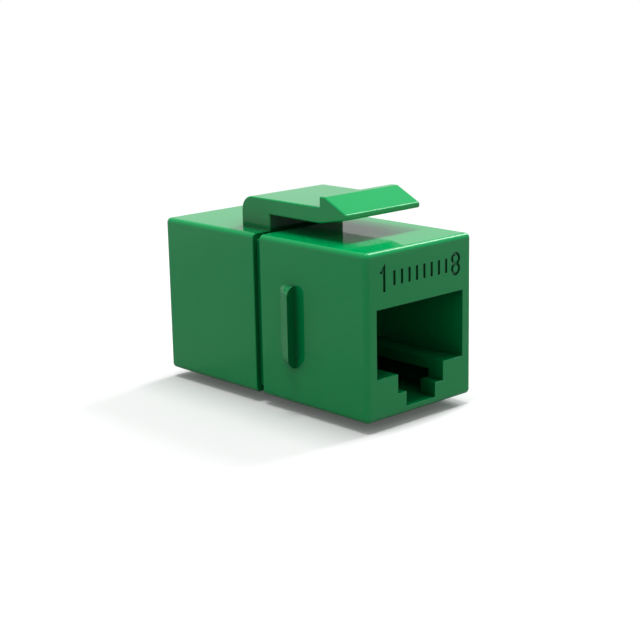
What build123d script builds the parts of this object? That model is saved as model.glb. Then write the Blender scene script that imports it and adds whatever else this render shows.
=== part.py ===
"""Inline coupler with two eight-way ports, for a snap-in panel cutout.

The origin is under the middle of the part, on the surface that it stands on. X runs across the
part, Y along it with the front port at the -Y end, and Z up. All sizes are in millimetres.
"""
from build123d import *
from math import hypot
import os

# Walls and edges of the two shells
shell_wall = 1.3
floor_wall = 0.75
front_wall = 1.9
corner_round = 0.5
edge_break = 0.12

# Port opening: a wide mouth, a tab slot under it and a narrow notch under that
port_width = 11.9
port_height = 6.65
tab_slot_width = 6.3
tab_slot_height = 1.9
tab_notch_width = 4.0
tab_notch_height = 1.45
plug_depth = 11.8

# Space behind the front wall: rails that carry the plug, a pocket under them, a bay over the port
rail_thickness = 1.1
tab_pocket_width = 10.0
pocket_end_wall = 0.7
contact_bay = 4.15

# Stack in the middle, from the board outwards
board_thickness = 1.2
board_corner = 0.4
carrier_plate = 1.2
comb_depth = 1.2
carrier_foot = 3.0
insert_clearance = 0.05

# Joint between the shells: a spigot inside a thin lip, with a bead that snaps into a groove
seam_gap = 0.97
seam_shift = 0.385
lip_wall = 0.5
joint_clearance = 0.05
joint_corner = 0.3
bead_height = 0.15
bead_width = 0.6

# Contact springs: flat strip, bent once over the carrier's edge and sloped back into the port
contact_count = 8
contact_pitch = 1.016
contact_width = 0.4
contact_thickness = 0.35
contact_bend = 0.5
contact_drop = 2.15
contact_rise = 0.25
contact_tip_gap = 0.4
contact_grip = 0.02
tail_length = 0.45
tail_clearance = 0.15
solder_gap = 0.05
comb_play = 0.12
carrier_lift = 0.55
bend_space = 2.5
cheek_width = 1.5

# Panel stops on both sides of the front shell, and the panel edge that they trap with the hooks
rib_distance = 5.15
rib_length = 2.1
rib_proud = 1.1
rib_crest_round = 1.05
rib_toe_corner = 0.65
rib_toe_sink = 0.03
rib_draft = 0.25
rib_base = 3.7
rib_height = 8.2
panel_gap = 1.25

# Latch arm on the rear shell, over the front shell, and the fixed hook under the front shell
latch_width = 10.1
latch_edge = 0.17
latch_gap = 1.55
latch_thickness = 1.6
post_overhang = 0.12
post_length = 4.22
post_round = 1.5
hook_height = 1.0
hook_land = 0.7
nose_length = 3.65
nose_lift = 0.68
nose_thickness = 0.49
nose_round = 0.2
hook_drop = 1.0
hook_width = 9.0
hook_ramp = 2.6

# Numbering cut into the front face: a tick for each contact, with 1 and 8 at the ends
mark_depth = 0.2
mark_stroke = 0.32
tick_height = 1.4
digit_height = 2.3
digit_gap = 1.35
digit_flag = 0.5

# Sizes that follow from the ones above, with heights counted from the underside of the shells
cavity_width = port_width
body_width = cavity_width + 2 * shell_wall
slot_floor = floor_wall + tab_notch_height
port_floor = slot_floor + tab_slot_height
port_top = port_floor + port_height
cavity_top = port_top + contact_bay
body_height = cavity_top + shell_wall

# Distances from the middle of the part, the same towards both ends
board_face = board_thickness / 2
plate_face = board_face + carrier_plate
comb_face = plate_face + comb_depth
foot_face = board_face + carrier_foot
port_face = comb_face + plug_depth
wall_back = port_face - front_wall
carrier_front = wall_back - bend_space
catch_face = rib_distance + panel_gap

# Carrier and contact heights
carrier_low = shell_wall + insert_clearance
carrier_top = cavity_top - insert_clearance
carrier_underside = port_top + carrier_lift
row_spacing = (carrier_top - carrier_underside) / 3
contact_rows = [carrier_underside + row_spacing, carrier_underside + 2 * row_spacing]
turn_height = port_top + contact_rise
tip_height = port_top - contact_drop
insert_width = cavity_width - 2 * insert_clearance
hole_radius = hypot(contact_width, contact_thickness) / 2 + solder_gap

towards = {"front": -1, "rear": 1}

# The seam isn't in the middle, but a little nearer to the rear port
seam_face = {"front": seam_gap / 2 - seam_shift, "rear": seam_gap / 2 + seam_shift}


def across(end, distance):
    """Plane square to the ports, facing out of this end, with its own height from the underside."""
    way = towards[end]
    return Plane(origin=(0, way * distance, hook_drop), x_dir=(-way, 0, 0), z_dir=(0, way, 0))


def along(end, offset):
    """Plane through the length of the part, its own x running from the middle out to this end."""
    way = towards[end]
    return Plane(origin=(offset, 0, hook_drop), x_dir=(0, way, 0), z_dir=(way, 0, 0))


def contact_x(number):
    """Place of a contact across its port, counted from the left as a person faces the port."""
    return (number - (contact_count + 1) / 2) * contact_pitch


def contact_row(number):
    """Odd contacts run in the upper row and even ones in the lower row."""
    return contact_rows[number % 2]


def cut_space(end, start, stop, width, low, high):
    """Cut a square-cornered space between two distances from the middle."""
    with BuildSketch(across(end, start)) as space:
        with Locations((0, (low + high) / 2)):
            Rectangle(width, high - low)
    extrude(space.sketch, amount=stop - start, mode=Mode.SUBTRACT)


def shell_block(end):
    """Outer form of one shell, rounded all over except for a light edge break at the joint."""
    with BuildSketch(across(end, seam_face[end])) as section:
        with Locations((0, body_height / 2)):
            Rectangle(body_width, body_height)
    extrude(section.sketch, amount=port_face - seam_face[end])
    ends = faces().filter_by(Axis.Y).sort_by(Axis.Y, reverse=end == "rear")
    fillet(ends[0].edges() + edges().filter_by(Axis.Y), radius=corner_round)
    ends = faces().filter_by(Axis.Y).sort_by(Axis.Y, reverse=end == "rear")
    fillet(ends[-1].edges(), radius=edge_break)


def cut_port(end):
    """The port: stepped opening, rails with the tab pocket under them, and the contact bay."""
    cut_space(end, foot_face, port_face, port_width, port_floor, port_top)
    cut_space(end, wall_back, port_face, tab_slot_width, slot_floor, port_floor)
    cut_space(end, wall_back, port_face, tab_notch_width, floor_wall, slot_floor)
    pocket_back = foot_face + pocket_end_wall
    rail_underside = port_floor - rail_thickness
    cut_space(end, pocket_back, wall_back, tab_slot_width, rail_underside, port_floor)
    cut_space(end, pocket_back, wall_back, tab_pocket_width, floor_wall, rail_underside)
    cut_space(end, foot_face, wall_back, cavity_width, port_top, cavity_top)


def joint_ring(start, stop, inset, mode):
    """Rounded block in the joint, set in by this much from the outer walls of the shells."""
    with BuildSketch(across("front", start)) as ring:
        with Locations((0, body_height / 2)):
            RectangleRounded(body_width - 2 * inset, body_height - 2 * inset, joint_corner)
    extrude(ring.sketch, amount=stop - start, mode=mode)


# Places along the joint
spigot_tip = foot_face - joint_clearance
spigot_inset = lip_wall + joint_clearance
bead_start = (spigot_tip + seam_face["front"] - bead_width) / 2
bead_stop = bead_start + bead_width

# Panel stops: a rounded front wall that runs down to a straight edge on the shell's sides. The
# toe has a short line for each arc of the wall, so that the ramp stays nearly flat to its ends.
with BuildPart() as panel_stops:
    rib_middle = rib_base + rib_height / 2
    toe_side = body_width / 2
    toe_end = rib_height / 2 - rib_draft
    with BuildSketch(across("front", rib_distance)):
        with Locations((0, rib_middle)):
            RectangleRounded(body_width + 2 * rib_proud, rib_height, rib_crest_round)
    with BuildSketch(across("front", rib_distance - rib_length)):
        with Locations((0, rib_middle)):
            Polygon(
                (toe_side, rib_toe_corner - toe_end),
                (toe_side, toe_end - rib_toe_corner),
                (toe_side - rib_toe_sink, toe_end),
                (rib_toe_sink - toe_side, toe_end),
                (-toe_side, toe_end - rib_toe_corner),
                (-toe_side, rib_toe_corner - toe_end),
                (rib_toe_sink - toe_side, -toe_end),
                (toe_side - rib_toe_sink, -toe_end),
            )
    loft(ruled=True)

# Front shell
with BuildPart() as front_housing:
    shell_block("front")
    add(panel_stops.part)

    # Fixed hook underneath, which goes in front of the panel's lower edge
    with BuildSketch(along("front", 0)):
        with BuildLine():
            Polyline(
                (catch_face, floor_wall / 2),
                (catch_face, -hook_drop),
                (catch_face + hook_land, -hook_drop),
                (catch_face + hook_land + hook_ramp, 0),
                (catch_face + hook_land + hook_ramp, floor_wall / 2),
                close=True,
            )
        make_face()
    extrude(amount=hook_width / 2, both=True)

    cut_port("front")
    joint_ring(seam_face["front"], foot_face, lip_wall, Mode.SUBTRACT)
    groove_inset = spigot_inset - bead_height - joint_clearance
    joint_ring(bead_start - joint_clearance, bead_stop + joint_clearance, groove_inset, Mode.SUBTRACT)

    # Numbering over the port
    with BuildSketch(across("front", port_face)):
        mark_height = (port_top + body_height) / 2
        for number in range(1, contact_count + 1):
            with Locations((contact_x(number), mark_height)):
                Rectangle(mark_stroke, tick_height)
        with BuildLine():
            left = contact_x(1) - digit_gap
            top = mark_height + digit_height / 2
            Polyline((left - digit_flag, top - digit_flag), (left, top), (left, top - digit_height))
        trace(line_width=mark_stroke)
        loop_radius = (digit_height + mark_stroke) / 4
        loop_spacing = 2 * loop_radius - mark_stroke
        with Locations((contact_x(contact_count) + digit_gap, mark_height)):
            with GridLocations(0, loop_spacing, 1, 2):
                Circle(loop_radius)
            with GridLocations(0, loop_spacing, 1, 2):
                Circle(loop_radius - mark_stroke, mode=Mode.SUBTRACT)
    extrude(amount=-mark_depth, mode=Mode.SUBTRACT)

# Latch arm: a post on the shell's top, an arm forward over the gap, and a hook with a ramp
with BuildPart() as latch_arm:
    arm_underside = body_height + latch_gap
    arm_top = arm_underside + latch_thickness
    post_front = seam_face["rear"] - post_overhang
    post_back = post_front + post_length
    root = body_height - spigot_inset / 2
    nose_tip = -(catch_face + nose_length)
    with BuildSketch(along("rear", 0)) as arm_profile:
        with BuildLine():
            Polyline(
                (post_front, root),
                (post_front, arm_underside),
                (-catch_face, arm_underside),
                (nose_tip, arm_underside + nose_lift),
                (nose_tip, arm_underside + nose_lift + nose_thickness),
                (-catch_face - hook_land, arm_top + hook_height),
                (-catch_face, arm_top + hook_height),
                (-catch_face, arm_top),
                (post_back, arm_top),
                (post_back, root),
                close=True,
            )
        make_face()
        fillet(arm_profile.vertices().sort_by(Axis.X)[:2], radius=nose_round)
        bend = arm_profile.vertices().group_by(Axis.X)[-1].sort_by(Axis.Y)[-1]
        fillet(bend, radius=post_round)
    extrude(amount=latch_width / 2, both=True)
    sides = latch_arm.faces().filter_by(Axis.X)
    fillet(sides.edges(), radius=latch_edge)

# Rear shell
with BuildPart() as rear_housing:
    shell_block("rear")
    add(latch_arm.part)
    joint_ring(-seam_face["rear"] - edge_break, spigot_tip, spigot_inset, Mode.ADD)
    joint_ring(bead_start, bead_stop, spigot_inset - bead_height, Mode.ADD)
    cut_space("front", -foot_face, spigot_tip, cavity_width, shell_wall, cavity_top)
    cut_port("rear")


def make_carrier(end):
    """Moulded insert: end wall of the port with a comb, a foot, and a block that grips the contacts."""
    with BuildPart() as carrier:
        with BuildSketch(along(end, 0)):
            with BuildLine():
                Polyline(
                    (board_face, carrier_low),
                    (foot_face, carrier_low),
                    (foot_face, port_floor - insert_clearance),
                    (comb_face, port_floor - insert_clearance),
                    (comb_face, carrier_underside),
                    (wall_back - insert_clearance, carrier_underside),
                    (wall_back - insert_clearance, carrier_top),
                    (board_face, carrier_top),
                    close=True,
                )
            make_face()
        extrude(amount=insert_width / 2, both=True)
        bend_width = insert_width - 2 * cheek_width
        cut_space(end, carrier_front, wall_back, bend_width, carrier_underside, carrier_top)
        slot_floor_height = tip_height - contact_thickness / 2 - comb_play
        comb_height = carrier_underside - slot_floor_height
        strip_width = contact_width + 2 * contact_grip
        strip_thickness = contact_thickness + 2 * contact_grip
        for number in range(1, contact_count + 1):
            x = contact_x(number)
            own_row = contact_row(number)
            other_row = contact_row(number + 1)
            with BuildSketch(across(end, plate_face)) as comb_slot:
                with Locations((x, slot_floor_height + comb_height / 2)):
                    Rectangle(contact_width + 2 * comb_play, comb_height)
            extrude(comb_slot.sketch, amount=comb_depth, mode=Mode.SUBTRACT)
            with BuildSketch(across(end, board_face)) as channel:
                with Locations((x, own_row)):
                    Rectangle(strip_width, strip_thickness)
            extrude(channel.sketch, amount=carrier_front - board_face, mode=Mode.SUBTRACT)
            with BuildSketch(across(end, board_face)) as tail_recess:
                with Locations((x, other_row)):
                    Circle(hole_radius + tail_clearance)
            extrude(tail_recess.sketch, amount=tail_length + tail_clearance, mode=Mode.SUBTRACT)
    return carrier


def make_contact(end, number):
    """Spring strip: tail through the board, run through the carrier, bend, and slope into the port."""
    wrap = carrier_front + contact_bend
    row = contact_row(number)
    x = -towards[end] * contact_x(number)
    with BuildPart() as contact:
        with BuildSketch(along(end, x)):
            with BuildLine():
                FilletPolyline(
                    (-board_face - tail_length, row),
                    (wrap, row),
                    (wrap, turn_height),
                    (plate_face + contact_tip_gap, tip_height),
                    radius=contact_bend,
                )
            trace(line_width=contact_thickness)
        extrude(amount=contact_width / 2, both=True)
    return contact


# Circuit board across the middle, with a plated hole for each tail
with BuildPart() as circuit_board:
    board_height = carrier_top - carrier_low
    with BuildSketch(across("front", -board_face)):
        with Locations((0, (carrier_top + carrier_low) / 2)):
            RectangleRounded(insert_width, board_height, board_corner)
        with Locations((0, sum(contact_rows) / 2)):
            with GridLocations(contact_pitch, row_spacing, contact_count, 2):
                Circle(hole_radius, mode=Mode.SUBTRACT)
    extrude(amount=board_thickness)

front_housing.part.label = "front_housing"
rear_housing.part.label = "rear_housing"
circuit_board.part.label = "circuit_board"
pieces = [front_housing.part, rear_housing.part, circuit_board.part]

for end in towards:
    carrier = make_carrier(end)
    carrier.part.label = f"{end}_contact_carrier"
    pieces.append(carrier.part)
    for number in range(1, contact_count + 1):
        contact = make_contact(end, number)
        contact.part.label = f"{end}_contact_{number}"
        pieces.append(contact.part)

os.makedirs("parts", exist_ok=True)
for piece in pieces:
    export_step(piece, f"parts/{piece.label}.step")
    size = piece.bounding_box().size
    print(f"{piece.label}: {size.X:.2f} x {size.Y:.2f} x {size.Z:.2f} mm, {piece.volume:.2f} mm3")
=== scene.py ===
# %% [markdown]
# # A green inline coupler: finish, light and camera
#
# The object is a small block of glossy green plastic with a port at each end. Two shells snap
# together near the middle, a latch arm springs over the top, and eight gold springs hang in each
# port. The solids come from a CAD model, so nothing here is moved or resized. This lesson gives
# each piece a surface that behaves like the real material, and then sets up a plain white studio.

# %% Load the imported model
from math import cos, pi, radians, sin, tan

import bpy
from mathutils import Matrix, Vector


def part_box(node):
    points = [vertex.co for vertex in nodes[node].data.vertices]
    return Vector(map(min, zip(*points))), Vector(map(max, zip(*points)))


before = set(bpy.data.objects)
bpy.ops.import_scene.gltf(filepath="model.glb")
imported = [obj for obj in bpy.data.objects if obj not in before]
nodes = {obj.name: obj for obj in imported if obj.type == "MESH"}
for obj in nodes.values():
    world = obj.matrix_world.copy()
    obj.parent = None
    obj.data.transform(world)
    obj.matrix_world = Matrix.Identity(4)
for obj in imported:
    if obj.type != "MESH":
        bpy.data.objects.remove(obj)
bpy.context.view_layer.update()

MM = 0.001
print("pieces:", len(nodes))

# %% [markdown]
# ## The camera
#
# A picture of a box tells where its camera stood: the edges that are parallel on the object meet at
# vanishing points in the picture. Three of them fix the angles and the focal length, and the length
# of one edge fixes the distance. A camera could be aimed with a Track To constraint, but its roll
# would then always be zero, and this one is tilted a little. So its axes are written out from three
# angles, which keeps every number readable.

# %% Put the camera where the picture was taken from
camera_turn = radians(-43.044)
camera_height_angle = radians(13.940)
camera_roll = radians(-1.1175)
camera_place = Vector((-99.95, -107.84, 43.80)) * MM
picture_width = 640
focal_pixels = 1482.6

backward = Vector((
    sin(camera_turn) * cos(camera_height_angle),
    -cos(camera_turn) * cos(camera_height_angle),
    sin(camera_height_angle),
))
level_right = Vector((0, 0, 1)).cross(backward).normalized()
level_up = backward.cross(level_right)
right = cos(camera_roll) * level_right + sin(camera_roll) * level_up
up = cos(camera_roll) * level_up - sin(camera_roll) * level_right

camera_data = bpy.data.cameras.new("camera")
camera_data.sensor_width = 36
camera_data.lens = focal_pixels / picture_width * camera_data.sensor_width
camera_data.clip_start = 10 * MM
camera = bpy.data.objects.new("camera", camera_data)
axes = Matrix((right, up, backward)).transposed().to_4x4()
camera.matrix_world = Matrix.Translation(camera_place) @ axes
bpy.context.scene.collection.objects.link(camera)
bpy.context.scene.camera = camera
print("lens in mm:", round(camera_data.lens, 1))

# %% [markdown]
# ## Small helpers for node materials
#
# A material in Blender is a graph of nodes. Building it in code takes three steps that repeat: make
# a node, set the sockets that stay the same, and link the sockets that vary. `node` does the first
# two at once. Numbers that don't vary over the surface are set on the socket itself, because that
# is where a reader, and a file exporter, will look for them.

# %% Helpers
def start_material(name):
    """A new material with only a Principled shader, and its node tree."""
    material = bpy.data.materials.new(name)
    material.use_nodes = True
    tree = material.node_tree
    shader = tree.nodes["Principled BSDF"]
    return material, tree, shader


def node(tree, kind, **sockets):
    """Add a node and set its inputs by name, with underscores for spaces."""
    made = tree.nodes.new(kind)
    for socket, value in sockets.items():
        made.inputs[socket.replace("_", " ")].default_value = value
    return made


def surface_place(tree, stretch=(1, 1, 1)):
    """Position on the piece in metres, scaled along each axis before it reaches a texture."""
    coordinates = node(tree, "ShaderNodeTexCoord")
    mapping = node(tree, "ShaderNodeMapping", Scale=stretch)
    tree.links.new(coordinates.outputs["Object"], mapping.inputs["Vector"])
    return mapping.outputs["Vector"]


def noise(tree, place, size, detail=2.0):
    """Noise whose lumps are about this size, in metres."""
    texture = node(tree, "ShaderNodeTexNoise", Scale=1 / size, Detail=detail)
    tree.links.new(place, texture.inputs["Vector"])
    return texture.outputs["Fac"]


def spread(tree, value, low, high):
    """Turn the middle of a noise's range into a chosen range of numbers."""
    ramp = node(tree, "ShaderNodeMapRange", From_Min=0.3, From_Max=0.7, To_Min=low, To_Max=high)
    tree.links.new(value, ramp.inputs["Value"])
    return ramp.outputs["Result"]


def reckon(tree, operation, *values):
    """A Math node. Each value is a number or the output of another node."""
    step = tree.nodes.new("ShaderNodeMath")
    step.operation = operation
    for socket, value in zip(step.inputs, values):
        if isinstance(value, (int, float)):
            socket.default_value = value
        else:
            tree.links.new(value, socket)
    return step.outputs["Value"]


def tint(tree, value, dark, light):
    """Blend by a value from 0 to 1. Each colour is three numbers or the output of another node."""
    mix = tree.nodes.new("ShaderNodeMix")
    mix.data_type = "RGBA"
    for socket, colour in ((mix.inputs["A"], dark), (mix.inputs["B"], light)):
        if isinstance(colour, tuple):
            socket.default_value = (*colour, 1)
        else:
            tree.links.new(colour, socket)
    tree.links.new(value, mix.inputs["Factor"])
    return mix.outputs["Result"]


def bump(tree, height, depth, under=None):
    """Turn a value from 0 to 1 into a relief of this depth in metres."""
    relief = node(tree, "ShaderNodeBump", Strength=1.0, Distance=depth)
    tree.links.new(height, relief.inputs["Height"])
    if under is not None:
        tree.links.new(under, relief.inputs["Normal"])
    return relief.outputs["Normal"]


def dress(material, *names):
    """Put a material into the slot of these CAD pieces."""
    for name in names:
        for place in nodes[name].material_slots:
            place.material = material
    print(material.name, "on", len(names), "pieces")


# %% [markdown]
# ## Moulded green plastic
#
# The shells are injection moulded in a polished steel tool, so the surface is almost a mirror, and
# the colour goes right through. Three things keep it from looking like a default plastic. The
# pigment is never mixed perfectly, so the green drifts a little over several millimetres. The skin
# has a faint waviness where the plastic shrank as it cooled. And no moulded edge is truly sharp:
# the Bevel node bends the normals next to an edge, so that each one catches a thin line of light.
# Real bevels would do that too, but they would change the CAD mesh, which has to stay.
#
# The even light of these surroundings reaches into small holes, so the ports would come out too
# pale. So shade is painted into the colour: the Ambient Occlusion node measures how closed in a
# point is, and the colour goes almost black where it is. It looks only at its own shell, so the
# latch arm, which belongs to the rear shell, doesn't darken the front shell's top.

# %% Green shell plastic
def moulded_green():
    """Polished, self-coloured plastic of the two shells, with painted shade in its hollows."""
    material, tree, shader = start_material("moulded_green")
    place = surface_place(tree)
    deep_green, pale_green = (0.0, 0.35, 0.092), (0.0, 0.385, 0.102)
    # painted shade: the near-black colour that closed-in places of the shell are pulled towards
    painted_shade_green = (0.0, 0.008, 0.003)
    drift = noise(tree, place, 6 * MM)
    pigment = tint(tree, drift, deep_green, pale_green)
    shade_reach = 10 * MM
    # painted shade: ambient occlusion darkens the colour where the shell is closed in
    shade_occlusion = node(tree, "ShaderNodeAmbientOcclusion", Distance=shade_reach)
    shade_occlusion.samples = 8
    shade_occlusion.only_local = True
    shade_power = 1.4
    openness = reckon(tree, "POWER", shade_occlusion.outputs["AO"], shade_power)
    pigment_with_painted_shade = tint(tree, openness, painted_shade_green, pigment)
    tree.links.new(pigment_with_painted_shade, shader.inputs["Base Color"])
    polish = spread(tree, noise(tree, place, 1.5 * MM), 0.04, 0.07)
    tree.links.new(polish, shader.inputs["Roughness"])
    edge = node(tree, "ShaderNodeBevel", Radius=0.06 * MM)
    edge.samples = 6
    skin = bump(tree, noise(tree, place, 0.9 * MM), 0.002 * MM, under=edge.outputs["Normal"])
    tree.links.new(skin, shader.inputs["Normal"])
    shader.inputs["IOR"].default_value = 1.4
    shader.inputs["Specular IOR Level"].default_value = 0.36
    return material


dress(moulded_green(), "front_housing", "rear_housing")

# %% [markdown]
# ## Black contact carriers
#
# The inserts that hold the springs are moulded in black plastic from a tool that was left fine and
# matt by spark erosion. That grain is far too small to model, about a tenth of a millimetre, so it
# is a bump. The same grain varies the roughness, which is what makes black plastic read as plastic
# and not as a hole in the picture. A second, coarser noise varies the black itself a little.

# %% Black carrier plastic
def satin_black():
    """Spark-eroded finish of the two contact carriers."""
    material, tree, shader = start_material("satin_black")
    place = surface_place(tree)
    deep_black, soft_black = (0.010, 0.010, 0.011), (0.016, 0.016, 0.017)
    drift = noise(tree, place, 4 * MM)
    tree.links.new(tint(tree, drift, deep_black, soft_black), shader.inputs["Base Color"])
    grain = noise(tree, place, 0.1 * MM, detail=4.0)
    tree.links.new(spread(tree, grain, 0.38, 0.55), shader.inputs["Roughness"])
    tree.links.new(bump(tree, grain, 0.01 * MM), shader.inputs["Normal"])
    shader.inputs["IOR"].default_value = 1.5
    return material


dress(satin_black(), "front_contact_carrier", "rear_contact_carrier")

# %% [markdown]
# ## Gold-plated springs
#
# Each contact is stamped from rolled strip, and only the part that touches a plug is gold. The tail
# that goes into the board is tinned, so that solder takes to it. One noise, drawn out along the
# strip, makes both the rolling lines in the bump and the streaks in the roughness. The change from
# gold to tin lies a little outside the board's face, and that face is read from the CAD.

# %% Plated spring strip
tin = (0.72, 0.72, 0.70)
gold = (0.90, 0.62, 0.20)


def plated_strip():
    """Rolled strip, gold where a plug touches it and tinned at the tail."""
    material, tree, shader = start_material("plated_strip")
    shader.inputs["Metallic"].default_value = 1.0
    board_low, board_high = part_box("circuit_board")
    carrier_low, carrier_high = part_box("rear_contact_carrier")
    tinned_length = 1.5 * MM
    tin_end = board_high.y + tinned_length
    gold_start = tin_end + 0.4 * MM
    coordinates = node(tree, "ShaderNodeTexCoord")
    split = node(tree, "ShaderNodeSeparateXYZ")
    tree.links.new(coordinates.outputs["Object"], split.inputs["Vector"])
    reach = reckon(tree, "ABSOLUTE", split.outputs["Y"])
    plating = node(tree, "ShaderNodeMapRange", From_Min=tin_end, From_Max=gold_start)
    tree.links.new(reach, plating.inputs["Value"])
    metal = tint(tree, plating.outputs["Result"], tin, gold)
    tree.links.new(metal, shader.inputs["Base Color"])
    along_strip = (1, 0.06, 0.06)
    lines = noise(tree, surface_place(tree, along_strip), 0.05 * MM, detail=3.0)
    tree.links.new(spread(tree, lines, 0.16, 0.34), shader.inputs["Roughness"])
    tree.links.new(bump(tree, lines, 0.002 * MM), shader.inputs["Normal"])
    print("tin ends", round(tin_end / MM, 2), "mm from the middle")
    print("carriers end", round(carrier_high.y / MM, 2), "mm from the middle")
    return material


contacts = [f"{end}_contact_{number}" for end in ("front", "rear") for number in range(1, 9)]
dress(plated_strip(), *contacts)

# %% [markdown]
# ## The circuit board
#
# The board joins the springs of one port to those of the other. Green lacquer covers its copper,
# with a bare ring of metal round each hole. The rings could be modelled, but they are only a few
# hundredths of a millimetre high, so a material draws them. All holes lie on one grid: they are a
# pitch apart along X, in two rows. A point's distance from its nearest hole follows from that, and
# whatever is nearer than the ring's edge turns to metal. The Ping-Pong step does the folding: it
# turns X into a distance from a hole. The grid is read from the springs, which stand in the holes.

# %% Solder mask and metal rings
def solder_mask():
    """Green lacquer over copper, with a metal ring round each hole."""
    material, tree, shader = start_material("solder_mask")
    springs = [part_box(f"front_contact_{number}") for number in (1, 2)]
    middles = [(low.x + high.x) / 2 for low, high in springs]
    strip_thickness = 0.35 * MM
    rows = [high.z - strip_thickness / 2 for low, high in springs]
    pitch = abs(middles[1] - middles[0])
    holes_in_row = 8
    ring_edge = 0.44 * MM
    print("holes every", round(pitch / MM, 3), "mm")
    print("rows at heights of", [round(row / MM, 2) for row in rows], "mm")

    place = surface_place(tree)
    split = tree.nodes.new("ShaderNodeSeparateXYZ")
    tree.links.new(place, split.inputs["Vector"])
    from_first = reckon(tree, "SUBTRACT", split.outputs["X"], middles[0])
    beside = reckon(tree, "PINGPONG", from_first, pitch / 2)
    over_middle = reckon(tree, "SUBTRACT", split.outputs["Z"], sum(rows) / 2)
    from_between = reckon(tree, "ABSOLUTE", over_middle)
    above = reckon(tree, "SUBTRACT", from_between, abs(rows[0] - rows[1]) / 2)
    squares = reckon(tree, "ADD", reckon(tree, "POWER", beside, 2), reckon(tree, "POWER", above, 2))
    away = reckon(tree, "SQRT", squares)
    near_hole = reckon(tree, "LESS_THAN", away, ring_edge)
    from_middle = reckon(tree, "ABSOLUTE", split.outputs["X"])
    within_row = reckon(tree, "LESS_THAN", from_middle, holes_in_row / 2 * pitch)
    ring = reckon(tree, "MULTIPLY", near_hole, within_row)

    weave_square = 0.5 * MM
    dark_lacquer, pale_lacquer = (0.006, 0.085, 0.040), (0.008, 0.105, 0.050)
    weave = node(tree, "ShaderNodeTexChecker", Scale=1 / weave_square)
    tree.links.new(place, weave.inputs["Vector"])
    lacquer = tint(tree, weave.outputs["Fac"], dark_lacquer, pale_lacquer)
    tree.links.new(tint(tree, ring, lacquer, tin), shader.inputs["Base Color"])
    tree.links.new(ring, shader.inputs["Metallic"])
    polish = spread(tree, noise(tree, place, 0.4 * MM), 0.22, 0.34)
    tree.links.new(polish, shader.inputs["Roughness"])
    tree.links.new(bump(tree, noise(tree, place, 0.6 * MM), 0.01 * MM), shader.inputs["Normal"])
    return material


dress(solder_mask(), "circuit_board")

# %% [markdown]
# ## White floor and surroundings
#
# The part stands on a white sweep. A real one throws so much light back that the sides of a small
# object go pale. The Light Path node lets one floor be three: white with shadows to the camera, a
# middle grey in reflections, and a dark grey for the light that it scatters on to the part. Its
# shadow stays, because it is still a plain diffuse floor. Far out it fades away, which leaves only
# the white of the world and no horizon. The world is split in the same way.

# %% White floor and surroundings
def ray_is(tree, *kinds):
    """1 for rays of these kinds, such as Camera or Glossy, and 0 for the others."""
    path = node(tree, "ShaderNodeLightPath")
    chosen = path.outputs[f"Is {kinds[0]} Ray"]
    for kind in kinds[1:]:
        chosen = reckon(tree, "MAXIMUM", chosen, path.outputs[f"Is {kind} Ray"])
    return chosen


def grey(level):
    """A grey of this brightness, from 0 for black to 1 for white."""
    return (level, level, level)


def three_greys(tree, scattered, mirrored, seen):
    """One grey for light scattered on to the part, one for reflections and one for the camera."""
    unseen = tint(tree, ray_is(tree, "Glossy", "Transmission"), grey(scattered), mirrored)
    return tint(tree, ray_is(tree, "Camera"), unseen, grey(seen))


def white_floor():
    """Diffuse floor that fades out, with a little glow so that its shadows aren't black."""
    material = bpy.data.materials.new("white_floor")
    material.use_nodes = True
    tree = material.node_tree
    tree.nodes.remove(tree.nodes["Principled BSDF"])
    diffuse = node(tree, "ShaderNodeBsdfDiffuse")
    shown = three_greys(tree, scattered=0.18, mirrored=grey(0.5), seen=0.78)
    tree.links.new(shown, diffuse.inputs["Color"])
    shadow_glow = 0.065
    glow = node(tree, "ShaderNodeEmission")
    dim = node(tree, "ShaderNodeMapRange", To_Max=shadow_glow)
    tree.links.new(ray_is(tree, "Camera"), dim.inputs["Value"])
    tree.links.new(dim.outputs["Result"], glow.inputs["Strength"])
    lit = tree.nodes.new("ShaderNodeAddShader")
    tree.links.new(diffuse.outputs["BSDF"], lit.inputs[0])
    tree.links.new(glow.outputs["Emission"], lit.inputs[1])
    clear = tree.nodes.new("ShaderNodeBsdfTransparent")
    distance = tree.nodes.new("ShaderNodeVectorMath")
    distance.operation = "LENGTH"
    tree.links.new(surface_place(tree), distance.inputs[0])
    fade_start, fade_end = 60 * MM, 130 * MM
    fade = node(tree, "ShaderNodeMapRange", From_Min=fade_start, From_Max=fade_end)
    fade.interpolation_type = "SMOOTHSTEP"
    tree.links.new(distance.outputs["Value"], fade.inputs["Value"])
    mix = tree.nodes.new("ShaderNodeMixShader")
    tree.links.new(fade.outputs["Result"], mix.inputs["Fac"])
    tree.links.new(lit.outputs["Shader"], mix.inputs[1])
    tree.links.new(clear.outputs["BSDF"], mix.inputs[2])
    tree.links.new(mix.outputs["Shader"], tree.nodes["Material Output"].inputs["Surface"])
    return material


floor_size = 2.0
bpy.ops.mesh.primitive_plane_add(size=floor_size, location=(0, 0, 0))
floor = bpy.context.object
floor.name = "floor"
floor.data.materials.append(white_floor())


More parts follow.
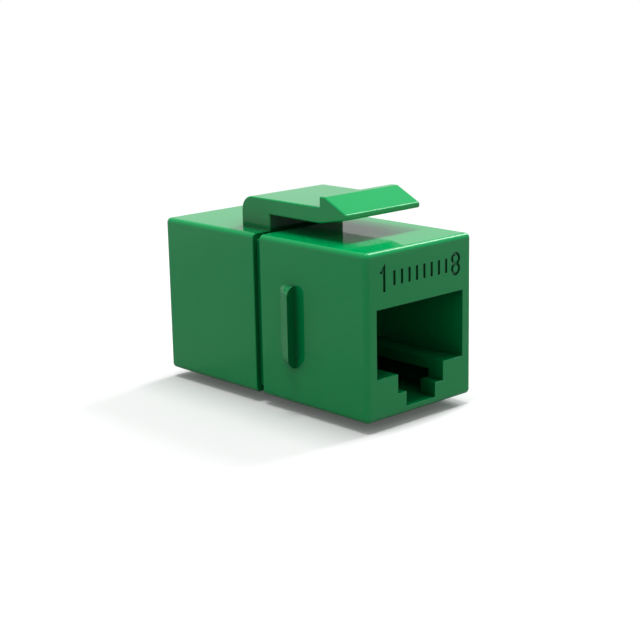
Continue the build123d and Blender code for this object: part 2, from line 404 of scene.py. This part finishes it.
def white_world():
    """White to the camera, soft grey as a light, and a paler grey overhead in reflections."""
    world = bpy.data.worlds.new("studio")
    world.use_nodes = True
    tree = world.node_tree
    direction = node(tree, "ShaderNodeTexCoord")
    split = node(tree, "ShaderNodeSeparateXYZ")
    tree.links.new(direction.outputs["Generated"], split.inputs["Vector"])
    horizon_top = 0.1
    height = node(tree, "ShaderNodeMapRange", From_Min=0.0, From_Max=horizon_top)
    tree.links.new(split.outputs["Z"], height.inputs["Value"])
    mirrored = tint(tree, height.outputs["Result"], grey(1), grey(0.72))
    shown = three_greys(tree, scattered=0.44, mirrored=mirrored, seen=1)
    tree.links.new(shown, tree.nodes["Background"].inputs["Color"])
    return world


bpy.context.scene.world = white_world()

# %% [markdown]
# ## The lamps
#
# The shadow on the floor tells where the light comes from. Close under the part it is dark and even
# on all sides, so a long softbox hangs straight overhead. To the left it goes on, wide and soft, so
# a second one leans in from the right, and that one also draws the thin bright lines on the front's
# rounded edges. A lamp's power means little by itself, so it is worked out: a lamp at distance d
# gives a surface that faces it P / (pi * d * d) watts per square metre, and a white surface looks
# white at pi. `share` is that part of white which the lamp gives a level floor.

# %% Two softboxes
lamp_distance = 600 * MM


def softbox(name, lean, turn, wide, deep, share):
    """Rectangular lamp aimed at the part. It leans from straight up; all angles are in degrees."""
    data = bpy.data.lights.new(name, "AREA")
    data.shape = "RECTANGLE"
    data.size = 2 * lamp_distance * tan(radians(wide) / 2)
    data.size_y = 2 * lamp_distance * tan(radians(deep) / 2)
    data.energy = share * (pi * lamp_distance) ** 2 / cos(radians(lean))
    lamp = bpy.data.objects.new(name, data)
    aim = Matrix.Rotation(radians(turn), 4, "Z") @ Matrix.Rotation(radians(lean), 4, "Y")
    lamp.matrix_world = aim @ Matrix.Translation((0, 0, lamp_distance))
    bpy.context.scene.collection.objects.link(lamp)
    print(name, "power in W:", round(data.energy, 2))


softbox("overhead_softbox", lean=0, turn=0, wide=38, deep=9, share=0.77)
softbox("right_softbox", lean=47, turn=2, wide=26, deep=20, share=0.40)

# %% [markdown]
# ## How bright numbers become a picture
#
# Filmic transforms bend bright colours towards white. Here a colour should come out as it was
# written, so the Standard transform is used and nothing else is touched.

# %% Colour handling
bpy.context.scene.view_settings.view_transform = "Standard"
